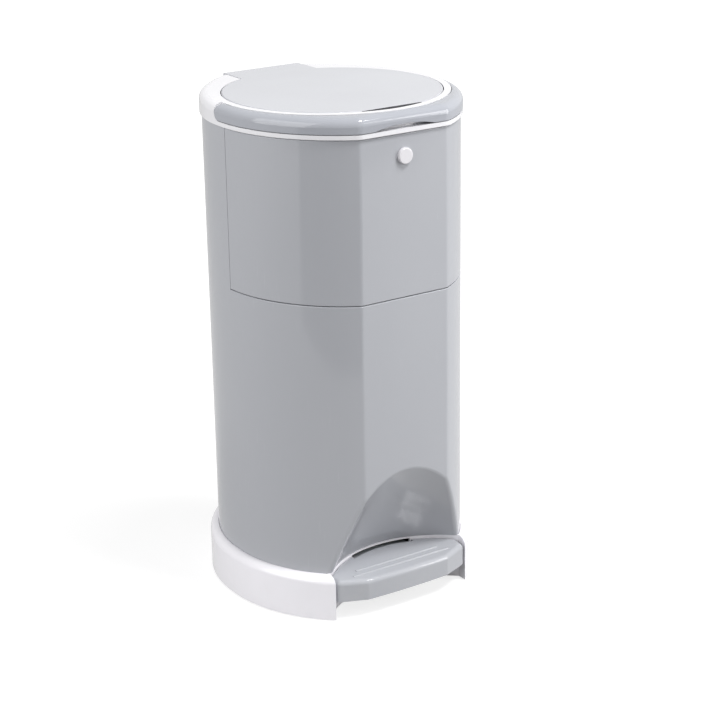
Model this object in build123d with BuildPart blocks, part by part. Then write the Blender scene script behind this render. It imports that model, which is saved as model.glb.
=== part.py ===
from build123d import *
import math
import os

# Litter disposal pail: a pedal lifts the lid, a front door opens the bin below the
# liner, and a carry handle lies on the white collar. Millimetres, +Z up, front
# towards -Y. The origin is on the floor, under the middle of the pail's footprint.
# Heights are measured from the floor. Places in plan are measured from the lid's
# upright axis, which stands at (0, lid_axis_y).

# ---------------------------------------------------------------- plan section
half_width = 126.0
front_reach = 125.8
rear_reach = 138.7
front_flat_half_width = 51.0
rear_flat_half_width = 46.0
side_straight = 6.0
front_corner_radius = 7.0
rear_corner_radius = 8.0
wall = 2.8

# ---------------------------------------------------------------- clearances
running_fit = 0.05
pin_fit = 0.02
nest_gap = 0.3
slide_gap = 0.3
ring_gap = 0.7
seam_gap = 0.8
edge_round = 0.8

# ---------------------------------------------------------------- base
foot_height = 8.0
foot_radius = 11.0
front_foot_inset_x = 32.0
front_foot_inset_y = 85.8
rear_foot_inset_x = 46.0
rear_foot_inset_y = 54.7
floor_plate_thickness = 3.0
base_lift = 1.0
base_top = 49.0
base_flare = 9.0
base_wall = 3.0
base_shoulder = 8.4
base_step = 4.0
bay_half_width = 82.0
bay_radius = 118.0
bay_depth = 54.3
arm_slot_side_gap = 1.5
arm_slot_low = 20.0
arm_slot_high = 47.6

# ---------------------------------------------------------------- body and bosses
seam_height = 335.5
boss_radius = 6.5
boss_inset = 10.5
boss_y = 30.0
boss_height = 45.0
screw_radius = 2.0
screw_head_radius = 4.0
screw_head_depth = 1.6
screw_length = 24.0
inner_floor_thickness = 2.0
inner_floor_front_gap = 6.0
lip_thickness = 2.2
lip_rise = 5.5
lip_root = 7.5
jamb_depth = 2.8
jamb_width = 10.0

# ---------------------------------------------------------------- toe recess
recess_radius = 118.0
recess_depth = 56.3
recess_height = 103.5
recess_rim = 5.0

# ---------------------------------------------------------------- door hinge
door_axis_out = 1.5
knuckle_radius = 4.0
knuckle_length = 16.0
door_pin_radius = 1.6
lower_knuckle_rise = 36.5
upper_knuckle_drop = 41.4

# ---------------------------------------------------------------- latch
button_drop = 22.4
button_radius = 8.0
button_rise = 3.5
button_flange = 1.6
button_flange_depth = 1.5
button_travel = 4.5
stem_radius = 3.2
bolt_half_width = 7.0
bolt_thickness = 3.0
bolt_setback = 12.2
bolt_engagement = 3.8
bolt_length = 30.0
bolt_window_half_width = 3.7
bolt_window_height = 11.0
latch_housing_half_width = 13.0
latch_housing_depth = 17.0
latch_housing_drop = 7.4
latch_housing_floor = 3.0
latch_spring_radius = 4.0
latch_spring_bore = 2.6
latch_spring_length = 16.0
keeper_half_width = 9.0
keeper_thickness = 3.2
keeper_drop = 5.0
latch_gap_half_width = 34.0

# ---------------------------------------------------------------- liner cutter
cutter_gap = 39.2
cutter_half_width = 22.0
cutter_half_height = 10.0
cutter_depth = 10.0
cutter_slot = 1.2
cutter_end_wall = 6.0
blade_end_gap = 3.0
blade_thickness = 0.6
blade_reach = 5.0

# ---------------------------------------------------------------- collar
collar_bottom = 501.4
collar_flare = 2.2
ledge_thickness = 4.6
crown_height = 21.6
crown_fillet = 9.0
crown_corner_radius = 10.5
handle_band = 8.4
hinge_room = 12.0
ring_wall = 7.2
seat_width = 8.4
funnel_ledge_width = 4.0
funnel_ledge_root = 2.0
funnel_ledge_thickness = 3.0
funnel_ledge_rise = 1.6
skirt_thickness = 2.5
skirt_drop = 13.4
pocket_wall = 4.2
pocket_roof = 5.0
pocket_ring_wall = 3.6
pocket_setback = 13.0
cheek_width = 9.0

# ---------------------------------------------------------------- carry handle
handle_float = 0.5
handle_height = 16.0
handle_pivot_y = 8.0
handle_pin_radius = 3.0
handle_pin_grip = 5.5
handle_pin_reach = 4.0
finger_gap_height = 4.5
finger_gap_sweep = 154.0

# ---------------------------------------------------------------- lid
lid_gap = 0.9
lid_rise = 0.5
lid_plate = 3.5
lid_depth = 12.0
lid_skirt = 5.0
lid_front_cut_depth = 6.0
lid_edge_round = 1.2
seal_inset = 1.0
seal_width = 4.0
seal_depth = 3.2
hinge_setback = 7.2
hinge_drop = 4.2
hinge_pin_radius = 2.0
hinge_pin_grip = 5.0
barrel_radius = 8.3
rod_groove_depth = 1.8
tail_half_width = 45.8
tail_thickness = 6.5
tail_overlap = 13.5
lid_swing = 80.0

# ---------------------------------------------------------------- lid crank and push rod
crank_radius = 15.0
crank_face_x = 2.0
crank_thickness = 6.0
crank_eye_radius = 4.2
crank_pad_front = 16.5
crank_pad_rear = 5.5
crank_pin_radius = 2.5
crank_pin_length = 7.0
rod_gap = 1.0
rod_thickness = 5.0
rod_depth = 8.0
rod_slot_play = 0.6
rod_end_play = 0.3
rod_head_wall = 1.5
rod_foot_wall = 2.6
window_margin = 2.0

# ---------------------------------------------------------------- rod guides and cover
guide_half_width = 15.5
guide_depth = 32.9
guide_height = 12.0
lower_guide_rise = 92.0
upper_guide_drop = 25.0
rod_cover_half_width = 18.0
rod_cover_depth = 35.9
rod_cover_wall = 2.0
rod_cover_gap = 19.0

# ---------------------------------------------------------------- pedal
pivot_setback = 56.5
pivot_height = 36.0
pedal_side_gap = 2.0
pedal_reach = 3.7
pedal_bow_half_width = 50.0
pedal_bow_depth = 1.5
pedal_bow_round = 8.0
pedal_side_depth = 14.0
pedal_corner_round = 5.0
pedal_back_top = 47.2
pedal_front_top = 42.2
pedal_height = 26.6
pedal_notch_depth = 4.0
pedal_wall = 3.0
pedal_back_gap = 1.5
pedal_back_relief = 3.5
pedal_edge_round = 5.0
ridge_radius = 1.5
ridge_sink = 0.3
inner_ridge_inset = 23.5
inner_ridge_half_width = 51.0
outer_ridge_inset = 15.0
outer_ridge_half_width = 60.0
arm_half_width = 36.0
arm_thickness = 12.0
arm_lead = 35.0
lever_thickness = 12.0
lever_half_height = 4.5
lever_pin_radius = 3.0
lever_pin_length = 7.0
shaft_radius = 4.0
hub_radius = 8.0
hub_half_width = 14.5
bearing_gap = 0.5
bearing_width = 10.0
bearing_depth = 18.0
bearing_rise = 7.0
shaft_overhang = 2.0
pedal_spring_lead = 23.0
pedal_spring_radius = 7.0
pedal_spring_bore = 5.2

# ---------------------------------------------------------------- funnel, cassette, flaps
funnel_flange_thickness = 3.0
funnel_flange_gap = 0.3
funnel_wall = 2.5
funnel_cone_depth = 14.0
funnel_depth = 54.0
cassette_inset = 7.0
cassette_width = 9.0
cassette_flange_lip = 1.0
cassette_flange_thickness = 2.5
cassette_throat_gap = 6.5
cassette_height = 38.0
cassette_wall = 1.8
flap_overlap = 4.5
flap_thickness = 2.8
flap_middle_gap = 0.8
flap_axis_gap = 2.0
flap_axis_drop = 4.0
flap_barrel_radius = 3.0
flap_barrel_half_length = 18.0
flap_pin_radius = 1.5
flap_lug_thickness = 5.0
flap_lug_radius = 3.5


def side_arc_radius(inward, along):
    """Radius of an arc that starts along its reach and ends inward of its start."""
    return (inward**2 + along**2) / (2 * inward)


# ---------------------------------------------------------------- worked-out places
# Side arcs are upright at the widest point and end at the flats' corners.
front_side_radius = side_arc_radius(half_width - front_flat_half_width, front_reach)
rear_side_radius = side_arc_radius(
    half_width - rear_flat_half_width, rear_reach - side_straight
)
pedal_front_y = -front_reach - pedal_reach
pedal_side_y = pedal_front_y + pedal_side_depth
inner_ridge_y = pedal_front_y + inner_ridge_inset
outer_ridge_y = pedal_front_y + outer_ridge_inset
pedal_half_width = bay_half_width - pedal_side_gap
lid_axis_y = -(rear_reach + base_flare + pedal_front_y) / 2
plate_top = foot_height + floor_plate_thickness
bay_wall_radius = bay_radius + base_wall
bay_back_y = -front_reach + bay_depth
bay_centre_y = bay_back_y - bay_radius
pivot_y = bay_back_y + pivot_setback
arm_rear_y = pivot_y - arm_lead
pedal_spring_y = pivot_y - pedal_spring_lead
recess_foot_y = -front_reach + recess_depth
boss_x = half_width - boss_inset
door_axis_x = half_width + door_axis_out
lower_knuckle_height = seam_height + lower_knuckle_rise
upper_knuckle_height = collar_bottom - upper_knuckle_drop
button_height = collar_bottom - button_drop
bolt_y = -front_reach + wall + bolt_setback
bay_roof = base_top + nest_gap
inner_floor_height = plate_top + boss_height
ledge_top = collar_bottom + ledge_thickness
ring_top = collar_bottom + crown_height
lid_top = ring_top + lid_rise
lid_bottom = lid_top - lid_depth
seat_height = lid_bottom - seal_depth - nest_gap
hinge_y = rear_reach - hinge_setback
# The ring round the lid is as large as the plan allows.
plan_inradius = min(half_width, front_reach, rear_reach - hinge_room)
ring_outer_radius = plan_inradius + collar_flare - handle_band
seat_radius = ring_outer_radius - ring_wall
lid_radius = seat_radius - lid_gap
lid_front_cut = lid_radius - lid_front_cut_depth
bore_radius = seat_radius - seat_width
funnel_ledge_radius = bore_radius - funnel_ledge_width
funnel_ledge_top = collar_bottom + funnel_ledge_rise
funnel_bottom = funnel_ledge_top - funnel_depth
cassette_outer_radius = bore_radius - cassette_inset
cassette_inner_radius = cassette_outer_radius - cassette_width
cassette_flange_radius = cassette_outer_radius + cassette_flange_lip
throat_radius = cassette_inner_radius - cassette_throat_gap
flap_radius = throat_radius + flap_overlap
flap_axis_x = flap_radius + flap_axis_gap
door_bottom = seam_height + seam_gap
door_top = collar_bottom - seam_gap
handle_bottom = ledge_top + handle_float
handle_top = handle_bottom + handle_height
handle_end_radius = handle_height / 2
handle_pivot_height = handle_bottom + handle_end_radius
handle_inner_radius = ring_outer_radius + ring_gap
hinge_height = lid_top - hinge_drop
tail_bottom = lid_top - tail_thickness
half_swing = math.radians(lid_swing / 2)
crank_pin_y = hinge_y - crank_radius * math.cos(half_swing)
crank_pin_height = hinge_height - crank_radius * math.sin(half_swing)
rod_travel = 2 * crank_radius * math.sin(half_swing)
rod_near = crank_face_x + rod_gap
rod_far = rod_near + rod_thickness
# The head's slot lets the crank pin swing forwards by the depth of its arc.
arc_depth = crank_radius * (1 - math.cos(half_swing))
rod_y = crank_pin_y - arc_depth / 2
slot_depth = arc_depth + 2 * (crank_pin_radius + rod_end_play)
slot_height = 2 * (crank_pin_radius + rod_slot_play)
head_depth = slot_depth + 2 * rod_head_wall
far = 2 * (front_reach + rear_reach)


def level(height):
    """Horizontal plane at a height, centred on the lid's axis."""
    return Plane((0, lid_axis_y, height))


def side(x):
    """Upright plane facing +X, whose own axes are plan depth and height."""
    return Plane(origin=(x, lid_axis_y, 0), x_dir=(0, 1, 0), z_dir=(1, 0, 0))


def facing(y):
    """Upright plane facing the front, whose own axes are X and height."""
    return Plane(origin=(0, lid_axis_y + y, 0), x_dir=(1, 0, 0), z_dir=(0, -1, 0))


def outline(grow, corner):
    """Plan section of the pail, grown outwards, with the given front corner radius."""
    front_y = front_reach + grow
    rear_y = rear_reach + grow
    side_x = half_width + grow
    front_arc = front_side_radius + grow
    rear_arc = rear_side_radius + grow
    front_centre = half_width - front_side_radius
    rear_centre = half_width - rear_side_radius
    front_turn = math.degrees(math.asin(front_y / front_arc))
    rear_turn = math.degrees(math.asin((rear_y - side_straight) / rear_arc))
    front_x = front_centre + front_arc * math.cos(math.radians(front_turn))
    rear_x = rear_centre + rear_arc * math.cos(math.radians(rear_turn))
    with BuildSketch(mode=Mode.PRIVATE) as section:
        with BuildLine():
            Line((-front_x, -front_y), (front_x, -front_y))
            CenterArc((front_centre, 0), front_arc, -front_turn, front_turn)
            Line((side_x, 0), (side_x, side_straight))
            CenterArc((rear_centre, side_straight), rear_arc, 0, rear_turn)
            Line((rear_x, rear_y), (-rear_x, rear_y))
            CenterArc((-rear_centre, side_straight), rear_arc, 180 - rear_turn, rear_turn)
            Line((-side_x, side_straight), (-side_x, 0))
            CenterArc((-front_centre, 0), front_arc, 180, front_turn)
        make_face()
        fillet(section.vertices().group_by(Axis.Y)[0], corner + grow)
        fillet(section.vertices().group_by(Axis.Y)[-1], rear_corner_radius + grow)
    return section.sketch


def section_block(grow, low, high, mode=Mode.ADD, corner=front_corner_radius):
    """Add or cut an upright block on the grown plan section."""
    with BuildSketch(level(low)) as section:
        add(outline(grow, corner))
    extrude(section.sketch, amount=high - low, mode=mode)


def block(x_span, y_span, z_span, mode=Mode.ADD):
    """Add or cut a rectangular block between the given ends."""
    middle = (
        (x_span[0] + x_span[1]) / 2,
        lid_axis_y + (y_span[0] + y_span[1]) / 2,
        (z_span[0] + z_span[1]) / 2,
    )
    with Locations(middle):
        Box(x_span[1] - x_span[0], y_span[1] - y_span[0], z_span[1] - z_span[0], mode=mode)


def post(x, y, radius, low, high, mode=Mode.ADD):
    """Add or cut an upright cylinder."""
    with Locations((x, lid_axis_y + y, (low + high) / 2)):
        Cylinder(radius, high - low, mode=mode)


def cross_bar(y, height, radius, x_span, mode=Mode.ADD):
    """Add or cut a cylinder along X."""
    middle = ((x_span[0] + x_span[1]) / 2, lid_axis_y + y, height)
    with Locations(Location(middle, (0, 90, 0))):
        Cylinder(radius, x_span[1] - x_span[0], mode=mode)


def depth_bar(x, height, radius, y_span, mode=Mode.ADD):
    """Add or cut a cylinder along Y."""
    middle = (x, lid_axis_y + (y_span[0] + y_span[1]) / 2, height)
    with Locations(Location(middle, (90, 0, 0))):
        Cylinder(radius, y_span[1] - y_span[0], mode=mode)


def bay_section(half_width_here, radius_here):
    """Plan of the pedal bay: the part of a circle in front, between two sides."""
    with BuildSketch(mode=Mode.PRIVATE) as section:
        with Locations((0, bay_centre_y)):
            Circle(radius_here)
        Rectangle(2 * half_width_here, far, mode=Mode.INTERSECT)
    return section.sketch


def bay_block(half_width_here, radius_here, low, high, mode):
    """Add or cut an upright block on the pedal bay's plan."""
    with BuildSketch(level(low)) as section:
        add(bay_section(half_width_here, radius_here))
    extrude(section.sketch, amount=high - low, mode=mode)


def finish(part, name):
    """Label a finished piece and write its file."""
    part.label = name
    export_step(part, f"parts/{name}.step")


os.makedirs("parts", exist_ok=True)

# The toe recess is a leaning cylinder. Its rearmost line climbs from the recess's foot
# to the top of the arch on the front flat.
recess_run = front_reach + recess_foot_y
recess_climb = recess_height
recess_line = math.hypot(recess_run, recess_climb)
recess_lean_y = -recess_run / recess_line
recess_lean_z = recess_climb / recess_line
recess_axis = Plane(
    origin=(
        0,
        lid_axis_y + recess_foot_y - recess_radius * recess_lean_z,
        base_top + recess_radius * recess_lean_y,
    ),
    x_dir=(1, 0, 0),
    z_dir=(0, recess_lean_y, recess_lean_z),
)


def cut_recess(grow):
    """Cut the leaning cylinder of the toe recess, grown outwards."""
    with BuildSketch(recess_axis) as section:
        Circle(recess_radius + grow)
    extrude(section.sketch, amount=far, both=True, mode=Mode.SUBTRACT)


def arch_edges(part, grow):
    """Edges where the grown recess leaves the front faces."""
    radius_here = recess_radius + grow

    def on_arch(edge):
        place = recess_axis.to_local_coords(edge.position_at(0.5))
        off_surface = abs(math.hypot(place.X, place.Y) - radius_here)
        return off_surface < 0.01 and edge.bounding_box().max.Z > bay_roof + 1

    return part.edges().filter_by(on_arch)


# ================================================================ base
with BuildPart() as base_space:
    section_block(base_flare - base_wall, foot_height, base_top - base_wall)
    fillet(base_space.edges().group_by(Axis.Z)[-1], base_shoulder - base_wall)
    section_block(base_flare - base_wall - base_step, 0, foot_height)
    section_block(nest_gap, foot_height, base_top)
    bay_block(bay_half_width + base_wall, bay_wall_radius, 0, base_top, Mode.SUBTRACT)

with BuildPart() as base_ring:
    section_block(base_flare, base_lift, base_top)
    fillet(base_ring.edges().group_by(Axis.Z)[-1], base_shoulder)
    add(base_space.part, mode=Mode.SUBTRACT)
    bay_block(bay_half_width, bay_radius, 0, base_top, Mode.SUBTRACT)
    arm_slot_half_width = arm_half_width + arm_slot_side_gap
    block(
        (-arm_slot_half_width, arm_slot_half_width),
        (bay_back_y - 2 * base_wall, bay_back_y + 2 * base_wall),
        (arm_slot_low, arm_slot_high),
        Mode.SUBTRACT,
    )
finish(base_ring.part, "base_ring")

screw_places = [(x, y) for x in (-boss_x, boss_x) for y in (-boss_y, boss_y)]
front_foot = (half_width - front_foot_inset_x, -front_reach + front_foot_inset_y)
rear_foot = (half_width - rear_foot_inset_x, rear_reach - rear_foot_inset_y)
foot_places = [(sign * x, y) for x, y in (front_foot, rear_foot) for sign in (-1, 1)]
bay_clear_half_width = bay_half_width + base_wall + nest_gap
bay_clear_radius = bay_wall_radius + nest_gap

with BuildPart() as floor_plate:
    section_block(base_flare - base_wall - nest_gap, foot_height, plate_top)
    bay_block(bay_clear_half_width, bay_clear_radius, 0, plate_top, Mode.SUBTRACT)
    for x, y in screw_places:
        post(x, y, screw_radius + pin_fit, foot_height, plate_top, Mode.SUBTRACT)
        post(
            x,
            y,
            screw_head_radius + nest_gap,
            foot_height,
            foot_height + screw_head_depth,
            Mode.SUBTRACT,
        )
finish(floor_plate.part, "floor_plate")

for number, (x, y) in enumerate(foot_places, start=1):
    with BuildPart() as rubber_foot:
        post(x, y, foot_radius, 0, foot_height)
        chamfer(rubber_foot.edges().group_by(Axis.Z)[0], 1.0)
    finish(rubber_foot.part, f"rubber_foot_{number}")

for number, (x, y) in enumerate(screw_places, start=1):
    with BuildPart() as base_screw:
        post(x, y, screw_head_radius, foot_height, foot_height + screw_head_depth)
        post(x, y, screw_radius, foot_height + screw_head_depth, foot_height + screw_length)
    finish(base_screw.part, f"base_screw_{number}")

# ================================================================ body
with BuildPart() as body_space:
    section_block(-wall, bay_roof, collar_bottom)
    cut_recess(wall)
    fillet(arch_edges(body_space, wall), recess_rim - wall)
    section_block(-wall, plate_top, bay_roof)

with BuildPart() as hinge_space:
    for height in (lower_knuckle_height, upper_knuckle_height):
        for shift in (-knuckle_length, knuckle_length):
            middle = height + shift * 3 / 4
            post(
                door_axis_x,
                0,
                knuckle_radius + nest_gap,
                middle - knuckle_length / 4 - nest_gap,
                middle + knuckle_length / 4 + nest_gap,
            )

with BuildPart() as rear_half:
    section_block(0, bay_roof, collar_bottom)
    # Front half above the seam belongs to the door.
    block((-far, far), (-far, nest_gap), (bay_roof, collar_bottom), Mode.SUBTRACT)

with BuildPart() as body_shell:
    section_block(0, bay_roof, seam_height)
    fillet(body_shell.edges().group_by(Axis.Z)[-1], edge_round)
    add(rear_half.part)
    cut_recess(0)
    fillet(arch_edges(body_shell, 0), recess_rim)
    section_block(0, plate_top, bay_roof)
    bay_block(bay_clear_half_width, bay_clear_radius, 0, bay_roof, Mode.SUBTRACT)
    add(body_space.part, mode=Mode.SUBTRACT)
    for x, y in screw_places:
        post(x, y, boss_radius, plate_top, inner_floor_height)
        post(x, y, screw_radius + pin_fit, plate_top, foot_height + screw_length, Mode.SUBTRACT)
    # Upright jambs along the rear half's front edges.
    jamb_low = seam_height + lip_rise + seam_gap
    jamb_high = collar_bottom - skirt_drop - seam_gap
    jamb_outer = half_width - wall / 2
    for sign in (-1, 1):
        jamb_x = sorted((sign * (half_width - jamb_width), sign * jamb_outer))
        block(jamb_x, (nest_gap, nest_gap + jamb_depth), (jamb_low, jamb_high))
    for height in (lower_knuckle_height, upper_knuckle_height):
        low = height - knuckle_length / 2
        post(door_axis_x, 0, knuckle_radius, low, low + knuckle_length)
        bore = door_pin_radius + pin_fit
        post(door_axis_x, 0, bore, low, low + knuckle_length, Mode.SUBTRACT)
    add(hinge_space.part, mode=Mode.SUBTRACT)

with BuildPart() as seam_lip:
    # The door closes on this lip: it stands up inside the front half of the seam.
    lip_outer = -wall - nest_gap
    section_block(lip_outer, seam_height - lip_root, seam_height + lip_rise)
    section_block(-wall / 2, seam_height - lip_root, seam_height - lip_root / 2)
    section_block(
        lip_outer - lip_thickness,
        seam_height - lip_root,
        seam_height + lip_rise,
        Mode.SUBTRACT,
    )
    lip_ends = (seam_height - lip_root, seam_height + lip_rise)
    block((-far, far), (0, far), lip_ends, Mode.SUBTRACT)

with BuildPart() as body_with_lip:
    add(body_shell.part)
    add(seam_lip.part)
finish(body_with_lip.part, "body_shell")

with BuildPart() as inner_floor:
    floor_top = inner_floor_height + inner_floor_thickness
    section_block(-wall - nest_gap, inner_floor_height, floor_top)
    cut_recess(wall + inner_floor_front_gap)
    block(
        (rod_near - window_margin, rod_far + window_margin),
        (rod_y - rod_depth / 2 - window_margin, rod_y + rod_depth / 2 + window_margin),
        (inner_floor_height, floor_top),
        Mode.SUBTRACT,
    )
finish(inner_floor.part, "inner_floor")

# ================================================================ door
button_bore = button_radius + 0.1
with BuildPart() as front_door:
    section_block(0, door_bottom, door_top)
    fillet(front_door.edges().group_by(Axis.Z)[0], edge_round)
    fillet(front_door.edges().group_by(Axis.Z)[-1], edge_round)
    section_block(-wall, door_bottom, door_top, Mode.SUBTRACT)
    block((-far, far), (-nest_gap, far), (door_bottom, door_top), Mode.SUBTRACT)
    for height in (lower_knuckle_height, upper_knuckle_height):
        for shift in (-knuckle_length, knuckle_length):
            middle = height + shift * 3 / 4
            low = middle - knuckle_length / 4
            high = middle + knuckle_length / 4
            post(door_axis_x, 0, knuckle_radius, low, high)
            post(door_axis_x, 0, door_pin_radius + running_fit, low, high, Mode.SUBTRACT)
        post(
            door_axis_x,
            0,
            knuckle_radius + nest_gap,
            height - knuckle_length / 2 - nest_gap,
            height + knuckle_length / 2 + nest_gap,
            Mode.SUBTRACT,
        )
    depth_bar(0, button_height, button_bore, (-far, 0), Mode.SUBTRACT)
finish(front_door.part, "front_door")

for name, height in (("lower", lower_knuckle_height), ("upper", upper_knuckle_height)):
    with BuildPart() as door_hinge_pin:
        pin_half = knuckle_length + nest_gap
        post(door_axis_x, 0, door_pin_radius, height - pin_half, height + pin_half)
    finish(door_hinge_pin.part, f"door_hinge_pin_{name}")

# ================================================================ latch on the door
inner_face_y = -front_reach + wall
flange_front_y = inner_face_y + nest_gap
flange_rear_y = flange_front_y + button_flange_depth
bolt_top = collar_bottom - keeper_drop + bolt_engagement
bolt_bottom = bolt_top - bolt_length
spring_bottom = bolt_bottom - latch_spring_length
housing_bottom = spring_bottom - latch_housing_floor
latch_housing_top = collar_bottom - latch_housing_drop
latch_housing_rear_y = inner_face_y + latch_housing_depth
# The stem's slanted end pushes a slanted window sill of the bolt: both lie at 45 degrees.
sill_height = button_height - stem_radius + bolt_thickness / 4
wedge_gap = nest_gap * math.sqrt(2)

with BuildPart() as release_button:
    cap_front_y = -front_reach - button_rise
    depth_bar(0, button_height, button_radius, (cap_front_y, flange_front_y))
    fillet(release_button.edges().group_by(Axis.Y)[0], 1.0)
    depth_bar(
        0,
        button_height,
        button_radius + button_flange,
        (flange_front_y, flange_rear_y),
    )
    stem_end_y = bolt_y + 2 * stem_radius
    depth_bar(0, button_height, stem_radius, (flange_rear_y, stem_end_y))
    with BuildSketch(side(-far)) as wedge_cut:
        with BuildLine():
            # Points where depth less height equals that of the sill, less the gap.
            base_point = bolt_y - wedge_gap
            low_point = (base_point - 4 * stem_radius, sill_height - 4 * stem_radius)
            high_point = (base_point + 4 * stem_radius, sill_height + 4 * stem_radius)
            Polyline(low_point, high_point, (high_point[0], low_point[1]), close=True)
        make_face()
    extrude(wedge_cut.sketch, amount=2 * far, mode=Mode.SUBTRACT)
finish(release_button.part, "release_button")

with BuildPart() as latch_bolt:
    bolt_front_y = bolt_y - bolt_thickness / 2
    bolt_rear_y = bolt_y + bolt_thickness / 2
    block(
        (-bolt_half_width, bolt_half_width),
        (bolt_front_y, bolt_rear_y),
        (bolt_bottom, bolt_top),
    )
    chamfer(latch_bolt.edges().group_by(Axis.Z)[-1].sort_by(Axis.Y)[0], bolt_thickness / 3)
    # Window with its sill sloping up towards the rear.
    with BuildSketch(side(-bolt_window_half_width)) as window:
        with BuildLine():
            half = bolt_thickness / 2
            window_top = sill_height + bolt_window_height
            Polyline(
                (bolt_front_y, sill_height - half),
                (bolt_rear_y, sill_height + half),
                (bolt_rear_y, window_top),
                (bolt_front_y, window_top),
                close=True,
            )
        make_face()
    extrude(window.sketch, amount=2 * bolt_window_half_width, mode=Mode.SUBTRACT)
finish(latch_bolt.part, "latch_bolt")

with BuildPart() as latch_housing:
    block(
        (-latch_housing_half_width, latch_housing_half_width),
        (inner_face_y, latch_housing_rear_y),
        (housing_bottom, latch_housing_top),
    )
    block(
        (-bolt_half_width - nest_gap, bolt_half_width + nest_gap),
        (bolt_front_y - nest_gap, bolt_rear_y + nest_gap),
        (spring_bottom, latch_housing_top),
        Mode.SUBTRACT,
    )
    post(0, bolt_y, latch_spring_radius + nest_gap, spring_bottom, bolt_bottom, Mode.SUBTRACT)
    flange_space = button_radius + button_flange + nest_gap
    flange_stop_y = flange_rear_y + button_travel + nest_gap
    depth_bar(0, button_height, flange_space, (inner_face_y, flange_stop_y), Mode.SUBTRACT)
    stem_space = stem_radius + nest_gap
    depth_bar(
        0,
        button_height,
        stem_space,
        (inner_face_y, latch_housing_rear_y),
        Mode.SUBTRACT,
    )
finish(latch_housing.part, "latch_housing")

with BuildPart() as latch_spring:
    post(0, bolt_y, latch_spring_radius, spring_bottom, bolt_bottom)
    post(0, bolt_y, latch_spring_bore, spring_bottom, bolt_bottom, Mode.SUBTRACT)
finish(latch_spring.part, "latch_spring")

# ================================================================ liner cutter on the door
cutter_height = housing_bottom - cutter_gap - cutter_half_height
cutter_span = (cutter_height - cutter_half_height, cutter_height + cutter_half_height)
with BuildPart() as cutter_housing:
    block(
        (-cutter_half_width, cutter_half_width),
        (inner_face_y, inner_face_y + cutter_depth),
        cutter_span,
    )
    fillet(cutter_housing.edges().filter_by(Axis.Y), 3.0)
    block(
        (-cutter_half_width + cutter_end_wall, cutter_half_width),
        (inner_face_y + cutter_depth - blade_reach, inner_face_y + cutter_depth),
        (cutter_height - cutter_slot / 2, cutter_height + cutter_slot / 2),
        Mode.SUBTRACT,
    )
finish(cutter_housing.part, "cutter_housing")

with BuildPart() as cutter_blade:
    blade_span = (cutter_height - cutter_slot / 2, cutter_height - cutter_slot / 2 + blade_thickness)
    blade_front_y = inner_face_y + cutter_depth - blade_reach
    block(
        (0, cutter_half_width - blade_end_gap),
        (blade_front_y, blade_front_y + blade_reach - 1),
        blade_span,
    )
finish(cutter_blade.part, "cutter_blade")

# ================================================================ collar
window_x = (crank_face_x - crank_thickness - window_margin, rod_far + window_margin)
window_front_y = rod_y - head_depth / 2 - ring_gap
barrel_space = barrel_radius + nest_gap
tail_space = tail_half_width + nest_gap

with BuildPart() as handle_space:
    block((-far, far), (-far, handle_pivot_y), (ledge_top, ring_top))
    end_space = handle_end_radius + nest_gap
    cross_bar(handle_pivot_y, handle_pivot_height, end_space, (-far, far))
    # Room above the round ends for the handle's back edge when it stands upright.
    upright_span = (handle_pivot_y, handle_pivot_y + end_space)
    block((-far, far), upright_span, (handle_pivot_height, ring_top))
    post(0, 0, ring_outer_radius, collar_bottom, ring_top, Mode.SUBTRACT)

with BuildPart() as rear_pockets:
    pocket_top = ring_top - pocket_roof
    section_block(collar_flare - pocket_wall, collar_bottom, pocket_top)
    pocket_inner_radius = ring_outer_radius - pocket_ring_wall
    post(0, 0, pocket_inner_radius, collar_bottom, pocket_top, Mode.SUBTRACT)
    cheek_x = tail_space + cheek_width
    block((-cheek_x, cheek_x), (-far, far), (collar_bottom, pocket_top), Mode.SUBTRACT)
    pocket_front_y = handle_pivot_y + pocket_setback
    block((-far, far), (-far, pocket_front_y), (collar_bottom, pocket_top), Mode.SUBTRACT)

with BuildPart() as collar_skirt:
    skirt_low = collar_bottom - skirt_drop
    section_block(-wall - nest_gap, skirt_low, collar_bottom)
    section_block(-wall - nest_gap - skirt_thickness, skirt_low, collar_bottom, Mode.SUBTRACT)
    block(
        (-latch_gap_half_width, latch_gap_half_width),
        (-far, 0),
        (skirt_low, collar_bottom),
        Mode.SUBTRACT,
    )

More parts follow.
